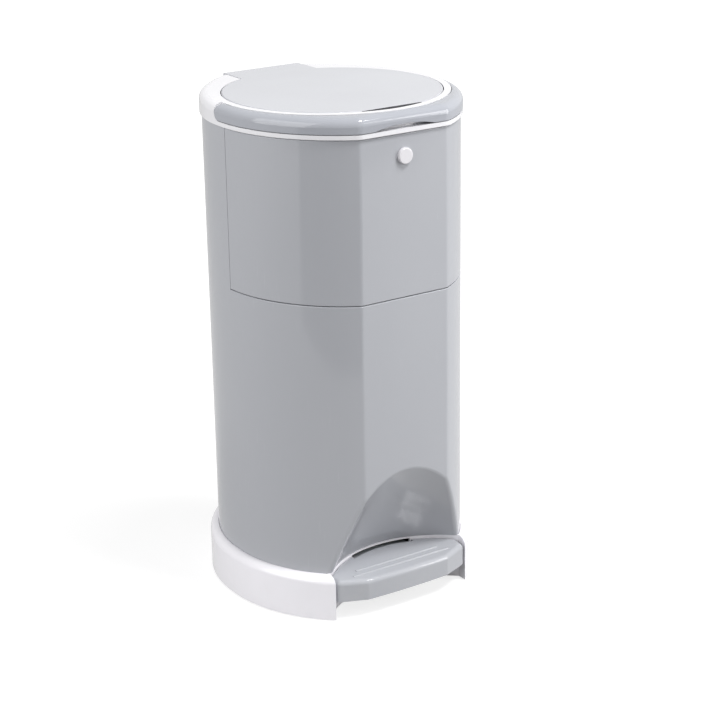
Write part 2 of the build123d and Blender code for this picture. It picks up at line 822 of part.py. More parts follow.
with BuildPart() as collar:
    section_block(collar_flare, collar_bottom, ring_top, corner=crown_corner_radius)
    fillet(collar.edges().group_by(Axis.Z)[-1], crown_fillet)
    fillet(collar.edges().group_by(Axis.Z)[0], edge_round)
    add(handle_space.part, mode=Mode.SUBTRACT)
    add(rear_pockets.part, mode=Mode.SUBTRACT)
    ledge_low = funnel_ledge_top - funnel_ledge_thickness
    post(0, 0, bore_radius + funnel_ledge_root, ledge_low, collar_bottom)
    add(collar_skirt.part)
    post(0, 0, funnel_ledge_radius, ledge_low, ring_top, Mode.SUBTRACT)
    post(0, 0, bore_radius, funnel_ledge_top, ring_top, Mode.SUBTRACT)
    post(0, 0, seat_radius, seat_height, ring_top, Mode.SUBTRACT)
    # Rear notch for the lid's tail, its barrel and the way out behind it.
    block(
        (-tail_space, tail_space),
        (0, hinge_y),
        (tail_bottom - nest_gap, ring_top),
        Mode.SUBTRACT,
    )
    cross_bar(hinge_y, hinge_height, barrel_space, (-tail_space, tail_space), Mode.SUBTRACT)
    block(
        (-tail_space, tail_space),
        (hinge_y, far),
        (hinge_height - barrel_space * 2 / 3, ring_top),
        Mode.SUBTRACT,
    )
    # Window for the crank and the rod's head.
    block(
        window_x,
        (window_front_y, hinge_y - crank_pad_rear + window_margin),
        (collar_bottom, ring_top),
        Mode.SUBTRACT,
    )
    pin_span = (-tail_space - hinge_pin_grip, tail_space + hinge_pin_grip)
    cross_bar(hinge_y, hinge_height, hinge_pin_radius + pin_fit, pin_span, Mode.SUBTRACT)
    # Bores for the handle's pivot pins, from the outside of the ring.
    pivot_face_x = math.sqrt(ring_outer_radius**2 - handle_pivot_y**2)
    for sign in (-1, 1):
        bore_span = sorted((sign * (pivot_face_x - handle_pin_grip), sign * far))
        bore = handle_pin_radius + pin_fit
        cross_bar(handle_pivot_y, handle_pivot_height, bore, bore_span, Mode.SUBTRACT)
    # Keeper lip for the door's latch.
    keeper_rear_y = bolt_front_y - nest_gap
    block(
        (-keeper_half_width, keeper_half_width),
        (keeper_rear_y - keeper_thickness, keeper_rear_y),
        (collar_bottom - keeper_drop, collar_bottom),
    )
finish(collar.part, "collar")

# ================================================================ carry handle
with BuildPart() as carry_handle:
    section_block(collar_flare, handle_bottom, handle_top, corner=crown_corner_radius)
    fillet(carry_handle.edges().group_by(Axis.Z)[-1], crown_fillet)
    fillet(carry_handle.edges().group_by(Axis.Z)[0], edge_round)
    with BuildSketch(side(-far)) as profile:
        with Locations((handle_pivot_y - far / 2, handle_pivot_height)):
            Rectangle(far, handle_height)
        with Locations((handle_pivot_y, handle_pivot_height)):
            Circle(handle_end_radius)
    extrude(profile.sketch, amount=2 * far, mode=Mode.INTERSECT)
    post(0, 0, handle_inner_radius, handle_bottom, handle_top, Mode.SUBTRACT)
    # Behind the lid's axis the inner faces are flat, so that they pass the ring.
    inner_x = (-handle_inner_radius, handle_inner_radius)
    block(inner_x, (0, far), (handle_bottom, handle_top), Mode.SUBTRACT)
    # Finger gap under the front, lens-shaped and fading out towards its ends.
    with BuildSketch(facing(0)) as finger_gap:
        with Locations((0, handle_bottom + finger_gap_height - finger_gap_sweep)):
            Circle(finger_gap_sweep)
    extrude(finger_gap.sketch, amount=far, mode=Mode.SUBTRACT)
    for sign in (-1, 1):
        bore_span = sorted((0, sign * (pivot_face_x + ring_gap + handle_pin_reach)))
        bore = handle_pin_radius + running_fit
        cross_bar(handle_pivot_y, handle_pivot_height, bore, bore_span, Mode.SUBTRACT)
finish(carry_handle.part, "carry_handle")

for name, sign in (("left", -1), ("right", 1)):
    with BuildPart() as handle_pin:
        pin_start = sign * (pivot_face_x - handle_pin_grip)
        pin_end = sign * (pivot_face_x + ring_gap + handle_pin_reach - nest_gap)
        pin_x = sorted((pin_start, pin_end))
        cross_bar(handle_pivot_y, handle_pivot_height, handle_pin_radius, pin_x)
    finish(handle_pin.part, f"handle_pin_{name}")

# ================================================================ lid
with BuildPart() as rod_groove:
    # The barrel is thinner beside the crank, where the rod's head passes it.
    groove_x = (crank_face_x, rod_far + ring_gap)
    cross_bar(hinge_y, hinge_height, barrel_radius + rod_groove_depth, groove_x)
    groove_radius = barrel_radius - rod_groove_depth
    cross_bar(hinge_y, hinge_height, groove_radius, groove_x, Mode.SUBTRACT)
    block((-far, far), (0, far), (tail_bottom, hinge_height + far), Mode.SUBTRACT)

with BuildPart() as lid:
    with BuildSketch(level(lid_bottom)) as disc:
        Circle(lid_radius)
        with Locations((0, -lid_front_cut - far / 2)):
            Rectangle(far, far, mode=Mode.SUBTRACT)
    extrude(disc.sketch, amount=lid_depth)
    with BuildSketch(level(lid_bottom)) as inside:
        Circle(lid_radius - lid_skirt)
        with Locations((0, -lid_front_cut + lid_skirt - far / 2)):
            Rectangle(far, far, mode=Mode.SUBTRACT)
    extrude(inside.sketch, amount=lid_depth - lid_plate, mode=Mode.SUBTRACT)
    fillet(lid.edges().group_by(Axis.Z)[-1], lid_edge_round)
    block(
        (-tail_half_width, tail_half_width),
        (lid_radius - tail_overlap, hinge_y),
        (tail_bottom, lid_top),
    )
    cross_bar(hinge_y, hinge_height, barrel_radius, (-tail_half_width, tail_half_width))
    block((-far, far), (0, far), (lid_top, lid_top + far), Mode.SUBTRACT)
    notch_x = (crank_face_x - crank_thickness - nest_gap, crank_face_x + nest_gap)
    block(
        notch_x,
        (hinge_y - barrel_radius - 1, hinge_y - crank_pad_rear + nest_gap),
        (hinge_height - barrel_radius, tail_bottom),
        Mode.SUBTRACT,
    )
    add(rod_groove.part, mode=Mode.SUBTRACT)
    barrel_bore = hinge_pin_radius + running_fit
    cross_bar(hinge_y, hinge_height, barrel_bore, (-tail_half_width, tail_half_width), Mode.SUBTRACT)
finish(lid.part, "lid")

with BuildPart() as lid_seal:
    seal_outer = lid_radius - seal_inset
    seal_cut = lid_front_cut - seal_inset
    with BuildSketch(level(lid_bottom - seal_depth)) as seal:
        Circle(seal_outer)
        with Locations((0, -seal_cut - far / 2)):
            Rectangle(far, far, mode=Mode.SUBTRACT)
        with BuildSketch(mode=Mode.SUBTRACT):
            Circle(seal_outer - seal_width)
            with Locations((0, -seal_cut + seal_width - far / 2)):
                Rectangle(far, far, mode=Mode.SUBTRACT)
    extrude(seal.sketch, amount=seal_depth)
finish(lid_seal.part, "lid_seal")

with BuildPart() as lid_crank:
    with BuildSketch(side(crank_face_x - crank_thickness)) as plate:
        with BuildLine():
            Polyline(
                (hinge_y - crank_pad_front, tail_bottom),
                (hinge_y - crank_pad_rear, tail_bottom),
                (crank_pin_y + crank_eye_radius, crank_pin_height),
                (crank_pin_y - crank_eye_radius, crank_pin_height),
                close=True,
            )
        make_face()
        with Locations((crank_pin_y, crank_pin_height)):
            Circle(crank_eye_radius)
    extrude(plate.sketch, amount=crank_thickness)
    crank_pin_x = (crank_face_x, crank_face_x + crank_pin_length)
    cross_bar(crank_pin_y, crank_pin_height, crank_pin_radius, crank_pin_x)
finish(lid_crank.part, "lid_crank")

with BuildPart() as lid_hinge_pin:
    cross_bar(hinge_y, hinge_height, hinge_pin_radius, pin_span)
finish(lid_hinge_pin.part, "lid_hinge_pin")

# ================================================================ push rod
lever_radius = rod_y - pivot_y
pedal_swing = 2 * math.asin(rod_travel / (2 * lever_radius))
lever_pin_height = pivot_height - rod_travel / 2
lever_pin_y = pivot_y + lever_radius * math.cos(pedal_swing / 2)
lever_slot_play = lever_radius * (1 - math.cos(pedal_swing / 2)) + rod_end_play
foot_slot_depth = 2 * (lever_pin_radius + lever_slot_play)
foot_slot_height = 2 * (lever_pin_radius + rod_end_play)

with BuildPart() as push_rod:
    with BuildSketch(side(rod_near)) as rod:
        shank_low = lever_pin_height
        shank_high = crank_pin_height
        with Locations((rod_y, (shank_low + shank_high) / 2)):
            Rectangle(rod_depth, shank_high - shank_low)
        with Locations((rod_y, crank_pin_height)):
            SlotOverall(head_depth, slot_height + 2 * rod_head_wall)
            SlotOverall(slot_depth, slot_height, mode=Mode.SUBTRACT)
        with Locations((rod_y, lever_pin_height)):
            SlotOverall(foot_slot_depth + 2 * rod_foot_wall, foot_slot_height + 2 * rod_foot_wall)
            SlotOverall(foot_slot_depth, foot_slot_height, mode=Mode.SUBTRACT)
    extrude(rod.sketch, amount=rod_thickness)
finish(push_rod.part, "push_rod")

back_face_y = rear_reach - wall
rod_cover_top = funnel_bottom - rod_cover_gap
lower_guide_height = floor_top + lower_guide_rise
upper_guide_height = rod_cover_top - upper_guide_drop
for name, height in (("lower", lower_guide_height), ("upper", upper_guide_height)):
    with BuildPart() as rod_guide:
        block(
            (-guide_half_width, guide_half_width),
            (back_face_y - guide_depth, back_face_y),
            (height, height + guide_height),
        )
        block(
            (rod_near - slide_gap, rod_far + slide_gap),
            (rod_y - rod_depth / 2 - slide_gap, rod_y + rod_depth / 2 + slide_gap),
            (height, height + guide_height),
            Mode.SUBTRACT,
        )
    finish(rod_guide.part, f"rod_guide_{name}")

with BuildPart() as rod_cover:
    block(
        (-rod_cover_half_width, rod_cover_half_width),
        (back_face_y - rod_cover_depth, back_face_y),
        (floor_top, rod_cover_top),
    )
    block(
        (-rod_cover_half_width + rod_cover_wall, rod_cover_half_width - rod_cover_wall),
        (back_face_y - rod_cover_depth + rod_cover_wall, back_face_y),
        (floor_top, rod_cover_top),
        Mode.SUBTRACT,
    )
finish(rod_cover.part, "rod_cover")

# ================================================================ pedal
pedal_low = pedal_back_top - pedal_height
pedal_back_radius = bay_radius - pedal_back_gap
pedal_back_y = bay_centre_y + pedal_back_radius


def tread_height(y):
    """Height of the tread, which slopes down towards the front."""
    run = pedal_back_y - pedal_front_y
    return pedal_front_top + (pedal_back_top - pedal_front_top) * (y - pedal_front_y) / run


def cut_above_tread(drop):
    """Cut what stands above the tread, lowered by a drop."""
    ends = (pedal_front_y - bearing_width, pedal_back_y + bearing_width)
    with BuildSketch(side(-far)) as above:
        with BuildLine():
            Polyline(
                (ends[0], tread_height(ends[0]) - drop),
                (ends[1], tread_height(ends[1]) - drop),
                (ends[1], far),
                (ends[0], far),
                close=True,
            )
        make_face()
    extrude(above.sketch, amount=2 * far, mode=Mode.SUBTRACT)


def pedal_plan(inset):
    """Plan of the pedal's tread, drawn in by an inset from its front and sides."""
    side_x = pedal_half_width - inset
    back_y = bay_centre_y + math.sqrt(pedal_back_radius**2 - side_x**2)
    corner_y = pedal_side_y + inset
    bow_x = pedal_bow_half_width - inset / 2
    bow_y = pedal_front_y + pedal_bow_depth + inset
    with BuildSketch(mode=Mode.PRIVATE) as plan:
        with BuildLine():
            Polyline((-side_x, back_y), (-side_x, corner_y), (-bow_x, bow_y))
            ThreePointArc((-bow_x, bow_y), (0, pedal_front_y + inset), (bow_x, bow_y))
            Polyline((bow_x, bow_y), (side_x, corner_y), (side_x, back_y))
            ThreePointArc((side_x, back_y), (0, pedal_back_y), (-side_x, back_y))
        make_face()
        ends = plan.vertices().group_by(Axis.Y)
        fillet(ends[0], pedal_bow_round)
        fillet(plan.vertices().filter_by_position(Axis.Y, corner_y, corner_y), pedal_corner_round)
    return plan.sketch


with BuildPart() as tread_space:
    with BuildSketch(level(pedal_low)) as hollow:
        add(pedal_plan(pedal_wall))
    extrude(hollow.sketch, amount=pedal_height)
    cut_above_tread(pedal_wall)

with BuildPart() as pedal:
    with BuildSketch(level(pedal_low)) as tread:
        add(pedal_plan(0))
    extrude(tread.sketch, amount=pedal_height)
    cut_above_tread(0)
    top_edges = pedal.faces().sort_by(Axis.Z)[-1].edges()
    round_from = lid_axis_y + pedal_side_y + pedal_corner_round
    front_edges = top_edges.filter_by(lambda edge: edge.center().Y < round_from)
    fillet(front_edges, pedal_edge_round)
    add(tread_space.part, mode=Mode.SUBTRACT)
    # Below the tread the back stands further forward, to clear the bay when pressed.
    with BuildSketch(level(pedal_low)) as relief:
        with Locations((0, bay_centre_y)):
            Circle(pedal_back_radius)
            Circle(pedal_back_radius - pedal_back_relief, mode=Mode.SUBTRACT)
    extrude(relief.sketch, amount=pedal_height - 2 * pedal_wall, mode=Mode.SUBTRACT)
    for y, reach in (
        (inner_ridge_y, inner_ridge_half_width),
        (outer_ridge_y, outer_ridge_half_width),
    ):
        cross_bar(y, tread_height(y) - ridge_sink, ridge_radius, (-reach, reach))
    # Arm through the slot, hub on the shaft and lever back to the rod.
    arm_low = pivot_height - arm_thickness / 2
    arm_high = pivot_height + arm_thickness / 2
    # Notch in the tread's back edge, above the arm.
    with BuildSketch(level(arm_high)) as notch:
        with Locations((0, bay_centre_y)):
            Circle(pedal_back_radius + 1)
            Circle(pedal_back_radius - pedal_notch_depth, mode=Mode.SUBTRACT)
        Rectangle(2 * arm_slot_half_width, far, mode=Mode.INTERSECT)
    extrude(notch.sketch, amount=pedal_height, mode=Mode.SUBTRACT)
    block((-arm_half_width, arm_half_width), (inner_ridge_y, arm_rear_y), (arm_low, arm_high))
    block((-hub_half_width, hub_half_width), (arm_rear_y, pivot_y), (arm_low, arm_high))
    cross_bar(pivot_y, pivot_height, hub_radius, (-hub_half_width, hub_half_width))
    with BuildSketch(side(crank_face_x - lever_thickness)) as lever:
        with BuildLine():
            Polyline(
                (pivot_y, arm_low),
                (pivot_y, arm_high),
                (lever_pin_y, lever_pin_height + lever_half_height),
                (lever_pin_y, lever_pin_height - lever_half_height),
                close=True,
            )
        make_face()
        with Locations((lever_pin_y, lever_pin_height)):
            Circle(lever_half_height)
    extrude(lever.sketch, amount=lever_thickness)
    lever_pin_x = (crank_face_x, crank_face_x + lever_pin_length)
    cross_bar(lever_pin_y, lever_pin_height, lever_pin_radius, lever_pin_x)
    hub_bore = shaft_radius + running_fit
    cross_bar(pivot_y, pivot_height, hub_bore, (-hub_half_width, hub_half_width), Mode.SUBTRACT)
finish(pedal.part, "pedal")

bearing_x = hub_half_width + bearing_gap
shaft_end = bearing_x + bearing_width + shaft_overhang
with BuildPart() as pedal_shaft:
    cross_bar(pivot_y, pivot_height, shaft_radius, (-shaft_end, shaft_end))
finish(pedal_shaft.part, "pedal_shaft")

for name, sign in (("left", -1), ("right", 1)):
    with BuildPart() as bearing_block:
        block_x = sorted((sign * bearing_x, sign * (bearing_x + bearing_width)))
        block(
            block_x,
            (pivot_y - bearing_depth / 2, pivot_y + bearing_depth / 2),
            (plate_top, pivot_height + shaft_radius + bearing_rise),
        )
        fillet(bearing_block.edges().filter_by(Axis.X).group_by(Axis.Z)[-1], 5.0)
        cross_bar(pivot_y, pivot_height, shaft_radius + pin_fit, block_x, Mode.SUBTRACT)
    finish(bearing_block.part, f"bearing_block_{name}")

with BuildPart() as pedal_spring:
    post(0, pedal_spring_y, pedal_spring_radius, plate_top, arm_low)
    post(0, pedal_spring_y, pedal_spring_bore, plate_top, arm_low, Mode.SUBTRACT)
finish(pedal_spring.part, "pedal_spring")

# ================================================================ funnel and cassette
flange_low = funnel_ledge_top
flange_high = flange_low + funnel_flange_thickness
lug_y = flap_barrel_half_length + flap_lug_thickness / 2 + nest_gap
flap_axis_height = funnel_bottom - flap_axis_drop

with BuildPart() as funnel:
    with BuildSketch(Plane.XZ.offset(-lid_axis_y)) as profile:
        with BuildLine():
            outer = bore_radius - funnel_flange_gap
            cone_low = flange_low - funnel_cone_depth
            mouth = funnel_ledge_radius - nest_gap - funnel_wall
            Polyline(
                (outer, flange_low),
                (outer, flange_high),
                (mouth, flange_high),
                (throat_radius, cone_low),
                (throat_radius, funnel_bottom),
                (cassette_flange_radius, funnel_bottom),
                (cassette_flange_radius, funnel_bottom + cassette_flange_thickness),
                (throat_radius + funnel_wall, funnel_bottom + cassette_flange_thickness),
                (throat_radius + funnel_wall, cone_low),
                (mouth + funnel_wall, flange_low),
                close=True,
            )
        make_face()
    revolve(profile.sketch, axis=Axis((0, lid_axis_y, 0), (0, 0, 1)))
    for x in (-flap_axis_x, flap_axis_x):
        for y in (-lug_y, lug_y):
            lug_half = flap_lug_thickness / 2
            lug_span = (y - lug_half, y + lug_half)
            block(
                (x - flap_lug_radius, x + flap_lug_radius),
                lug_span,
                (flap_axis_height, funnel_bottom),
            )
            depth_bar(x, flap_axis_height, flap_lug_radius, lug_span)
            bore = flap_pin_radius + pin_fit
            depth_bar(x, flap_axis_height, bore, lug_span, Mode.SUBTRACT)
finish(funnel.part, "funnel")

cassette_low = funnel_bottom + cassette_flange_thickness
with BuildPart() as liner_cassette:
    cassette_top = cassette_low + cassette_height
    post(0, 0, cassette_outer_radius, cassette_low, cassette_top)
    post(0, 0, cassette_inner_radius, cassette_low, cassette_top, Mode.SUBTRACT)
    # The liner is stored in a groove that is open at the top.
    groove_low = cassette_low + cassette_wall
    with BuildSketch(level(groove_low)) as groove:
        Circle(cassette_outer_radius - cassette_wall)
        Circle(cassette_inner_radius + cassette_wall, mode=Mode.SUBTRACT)
    extrude(groove.sketch, amount=cassette_top - groove_low, mode=Mode.SUBTRACT)
finish(liner_cassette.part, "liner_cassette")

for name, sign in (("left", -1), ("right", 1)):
    with BuildPart() as flap:
        plate_low = flap_axis_height
        with BuildSketch(level(plate_low)) as half_disc:
            Circle(flap_radius)
            with Locations((sign * (flap_middle_gap / 2 + far / 2), 0)):
                Rectangle(far, far, mode=Mode.INTERSECT)
        extrude(half_disc.sketch, amount=flap_thickness)
        barrel_span = (-flap_barrel_half_length, flap_barrel_half_length)
        depth_bar(sign * flap_axis_x, flap_axis_height, flap_barrel_radius, barrel_span)
        bore = flap_pin_radius + running_fit
        depth_bar(sign * flap_axis_x, flap_axis_height, bore, barrel_span, Mode.SUBTRACT)
    finish(flap.part, f"flap_{name}")
    with BuildPart() as flap_pin:
        pin_reach = lug_y + flap_lug_thickness / 2
        depth_bar(sign * flap_axis_x, flap_axis_height, flap_pin_radius, (-pin_reach, pin_reach))
    finish(flap_pin.part, f"flap_pin_{name}")

print(f"lid axis y {lid_axis_y:.3f}, handle pivot {handle_pivot_height:.3f}")
print(f"rod travel {rod_travel:.4f}, pedal swing {math.degrees(pedal_swing):.4f} degrees")
print(f"lever pin {lever_pin_y:.3f} {lever_pin_height:.3f}, crank pin {crank_pin_y:.3f}")
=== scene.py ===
"""Looks of the litter disposal pail: finishes, wound springs, studio and camera."""

import logging
import math
from abc import ABC, abstractmethod
from dataclasses import dataclass, field
from enum import Enum
from typing import ClassVar, NamedTuple

import bmesh
import bpy
from mathutils import Matrix, Vector

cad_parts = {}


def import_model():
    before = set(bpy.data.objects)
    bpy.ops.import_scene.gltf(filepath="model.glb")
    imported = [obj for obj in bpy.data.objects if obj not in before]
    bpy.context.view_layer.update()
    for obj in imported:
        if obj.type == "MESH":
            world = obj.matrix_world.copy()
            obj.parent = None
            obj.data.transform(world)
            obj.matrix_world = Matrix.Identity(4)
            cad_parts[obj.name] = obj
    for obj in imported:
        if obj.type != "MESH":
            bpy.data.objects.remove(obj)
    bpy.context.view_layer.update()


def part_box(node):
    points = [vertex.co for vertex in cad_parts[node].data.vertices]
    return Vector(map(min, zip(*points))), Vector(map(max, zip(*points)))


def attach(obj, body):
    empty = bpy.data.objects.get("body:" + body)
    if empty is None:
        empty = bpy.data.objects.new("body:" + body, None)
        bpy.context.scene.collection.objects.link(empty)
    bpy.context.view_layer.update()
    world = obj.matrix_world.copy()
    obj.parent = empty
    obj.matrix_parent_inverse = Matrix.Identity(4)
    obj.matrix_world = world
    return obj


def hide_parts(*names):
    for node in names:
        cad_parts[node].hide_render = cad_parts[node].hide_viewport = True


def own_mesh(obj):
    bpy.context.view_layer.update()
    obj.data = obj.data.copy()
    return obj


LOG = logging.getLogger("pail")
MM = 0.001
LID_AXIS_Y = -9.1 * MM

Colour = tuple[float, float, float]
Point = tuple[float, float, float]
Rgba = tuple[float, float, float, float]
Span = tuple[float, float]


def rgba(colour: Colour) -> Rgba:
    """Make a colour opaque.

    Args:
        colour: Red, green and blue.

    Returns:
        The colour with full alpha.
    """
    return (*colour, 1.0)


def grey(tone: float) -> Rgba:
    """Make an opaque grey.

    Args:
        tone: Its lightness, from 0 to 1.

    Returns:
        The grey.
    """
    return rgba((tone, tone, tone))


WHITE = grey(1.0)
BLACK = grey(0.0)


class Slot(Enum):
    """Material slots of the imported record."""

    GREY = "grey_plastic"
    WHITE = "white_plastic"
    DARK = "dark_plastic"
    LID = "lid_plastic"
    STEEL = "steel"
    RUBBER = "rubber"


class Run(Enum):
    """Direction in which a brushed or drawn surface's lines run, as coordinate factors."""

    ALONG_X = (0.03, 1.0, 1.0)
    ALONG_Y = (1.0, 0.03, 1.0)
    ALONG_Z = (1.0, 1.0, 0.03)


class Pattern(NamedTuple):
    """A noise pattern: its scale, its octaves and the weight of the finer ones."""

    scale: float
    detail: float
    rough: float


class Surface(NamedTuple):
    """Sockets that describe a surface."""

    colour: bpy.types.NodeSocket
    roughness: bpy.types.NodeSocket
    height: bpy.types.NodeSocket


class GroupInput(NamedTuple):
    """An input of a shader group: its name, socket type and default value."""

    name: str
    kind: str
    value: object = None


# ---------------------------------------------------------------- shader wiring
class Wiring:
    """Short ways to add and join shader nodes in one tree.

    The mix node repeats its socket names for every data type, so its colours go by number.
    """

    MIX_FIRST_COLOUR: ClassVar[int] = 6
    MIX_SECOND_COLOUR: ClassVar[int] = 7
    MIXED_COLOUR: ClassVar[int] = 2

    def __init__(self, tree: bpy.types.NodeTree) -> None:
        """Keep the tree that nodes are added to.

        Args:
            tree: The node tree.
        """
        self.tree = tree

    def node(self, kind: str, **settings: object) -> bpy.types.Node:
        """Add a node and set its plain attributes.

        Args:
            kind: Blender's node type name.
            **settings: Attributes to set on the new node.

        Returns:
            The new node.
        """
        made = self.tree.nodes.new(kind)
        for name, value in settings.items():
            setattr(made, name, value)
        return made

    def join(self, source: bpy.types.NodeSocket, target: bpy.types.NodeSocket) -> None:
        """Link an output socket to an input socket.

        Args:
            source: The output socket.
            target: The input socket.
        """
        self.tree.links.new(source, target)

    def feed(self, target: bpy.types.NodeSocket, source: object) -> None:
        """Link a socket, or set a plain value, on an input.

        Args:
            target: The input socket.
            source: An output socket or a plain value.
        """
        if isinstance(source, bpy.types.NodeSocket):
            self.join(source, target)
        else:
            target.default_value = source

    def places(self) -> bpy.types.NodeSocket:
        """Add the object's own coordinates.

        Returns:
            Their socket.
        """
        return self.node("ShaderNodeTexCoord").outputs["Object"]

    def axes(self, vector: bpy.types.NodeSocket) -> bpy.types.bpy_prop_collection:
        """Split coordinates into X, Y and Z.

        Args:
            vector: Coordinates.

        Returns:
            The three sockets.
        """
        made = self.node("ShaderNodeSeparateXYZ")
        self.join(vector, made.inputs[0])
        return made.outputs

    def math(self, operation: str, first: object, second: object) -> bpy.types.NodeSocket:
        """Combine two values.

        Args:
            operation: Blender's math operation name.
            first: First socket or number.
            second: Second socket or number.

        Returns:
            The result's socket.
        """
        made = self.node("ShaderNodeMath", operation=operation)
        self.feed(made.inputs[0], first)
        self.feed(made.inputs[1], second)
        return made.outputs[0]

    def total(self, first: object, *others: object) -> bpy.types.NodeSocket:
        """Add values up.

        Args:
            first: First socket or number.
            *others: The sockets or numbers to add to it.

        Returns:
            The sum's socket.
        """
        for other in others:
            first = self.math("ADD", first, other)
        return first

    def product(self, first: object, second: object) -> bpy.types.NodeSocket:
        """Multiply two values.

        Args:
            first: First socket or number.
            second: Second socket or number.

        Returns:
            The product's socket.
        """
        return self.math("MULTIPLY", first, second)

    def remap(
        self, value: object, span: Span, result: tuple[object, object] = (0.0, 1.0)
    ) -> bpy.types.NodeSocket:
        """Map a value's range onto another one, held at its ends.

        Args:
            value: Socket to map.
            span: The two values that become the ends of the result.
            result: The result at either end, as numbers or sockets.

        Returns:
            The result's socket.
        """
        made = self.node("ShaderNodeMapRange", clamp=True)
        for index, source in enumerate((value, *span, *result)):
            self.feed(made.inputs[index], source)
        return made.outputs[0]

    def blend(self, share: object, first: object, second: object) -> bpy.types.NodeSocket:
        """Mix two colours.

        Args:
            share: Share of the second colour.
            first: First colour or socket.
            second: Second colour or socket.

        Returns:
            The mixed colour's socket.
        """
        made = self.node("ShaderNodeMix", data_type="RGBA", blend_type="MIX")
        self.feed(made.inputs["Factor"], share)
        self.feed(made.inputs[self.MIX_FIRST_COLOUR], first)
        self.feed(made.inputs[self.MIX_SECOND_COLOUR], second)
        return made.outputs[self.MIXED_COLOUR]

    def noise(
        self, vector: bpy.types.NodeSocket, pattern: Pattern, scale: object = None
    ) -> bpy.types.NodeSocket:
        """Add a noise texture.

        Args:
            vector: Coordinates.
            pattern: The noise's pattern.
            scale: A socket that takes the place of the pattern's scale, or None.

        Returns:
            The noise value's socket.
        """
        made = self.node("ShaderNodeTexNoise")
        self.join(vector, made.inputs["Vector"])
        self.feed(made.inputs["Scale"], pattern.scale if scale is None else scale)
        made.inputs["Detail"].default_value = pattern.detail
        made.inputs["Roughness"].default_value = pattern.rough
        return made.outputs[0]

    def stretched(self, vector: bpy.types.NodeSocket, factors: Point) -> bpy.types.NodeSocket:
        """Scale coordinates unevenly about the object's origin.

        Args:
            vector: Coordinates.
            factors: Factors along X, Y and Z; a small one draws a pattern out.

        Returns:
            The new coordinates' socket.
        """
        made = self.node("ShaderNodeMapping", vector_type="POINT")
        made.inputs["Scale"].default_value = factors
        self.join(vector, made.inputs["Vector"])
        return made.outputs[0]

    def relief(self, height: bpy.types.NodeSocket, depth: float) -> bpy.types.NodeSocket:
        """Turn a height into a bumped normal.

        Args:
            height: Height from 0 to 1.
            depth: Depth of a height of 1, in metres.

        Returns:
            The normal's socket.
        """
        made = self.node("ShaderNodeBump")
        made.inputs["Strength"].default_value = 1.0
        made.inputs["Distance"].default_value = depth
        self.join(height, made.inputs["Height"])
        return made.outputs["Normal"]


# ---------------------------------------------------------------- shader groups
class ShaderGroup(ABC):
    """A shared surface effect, built once as a node group."""

    name: ClassVar[str]
    inputs: ClassVar[tuple[GroupInput, ...]]
    outputs: ClassVar[dict[str, str]] = {
        "Colour": "NodeSocketColor",
        "Roughness": "NodeSocketFloat",
        "Height": "NodeSocketFloat",
    }

    @abstractmethod
    def wire(self, w: Wiring, given: bpy.types.NodeOutputs) -> Surface:
        """Wire the effect inside its group.

        Args:
            w: Wiring of the group's tree.
            given: The group's inputs, as sockets by name.

        Returns:
            The surface.
        """

    def tree(self) -> bpy.types.NodeTree:
        """Build the group on first use.

        Returns:
            The group's node tree.
        """
        found = bpy.data.node_groups.get(self.name)
        if found:
            return found
        tree = bpy.data.node_groups.new(self.name, "ShaderNodeTree")
        for name, kind, value in self.inputs:
            socket = tree.interface.new_socket(name, in_out="INPUT", socket_type=kind)
            if value is not None:
                socket.default_value = value
        for name, kind in self.outputs.items():
            tree.interface.new_socket(name, in_out="OUTPUT", socket_type=kind)
        w = Wiring(tree)
        surface = self.wire(w, w.node("NodeGroupInput").outputs)
        out = w.node("NodeGroupOutput").inputs
        for name, source in zip(self.outputs, surface):
            w.join(source, out[name])
        return tree

    def surface(self, w: Wiring, **given: object) -> Surface:
        """Use the group in a material.

        Args:
            w: Wiring of the material's tree.
            **given: A socket or plain value for each input of the group.

        Returns:
            The surface.
        """
        made = w.node("ShaderNodeGroup", node_tree=self.tree())
        for name, source in given.items():
            w.feed(made.inputs[name], source)
        return Surface(*(made.outputs[name] for name in self.outputs))


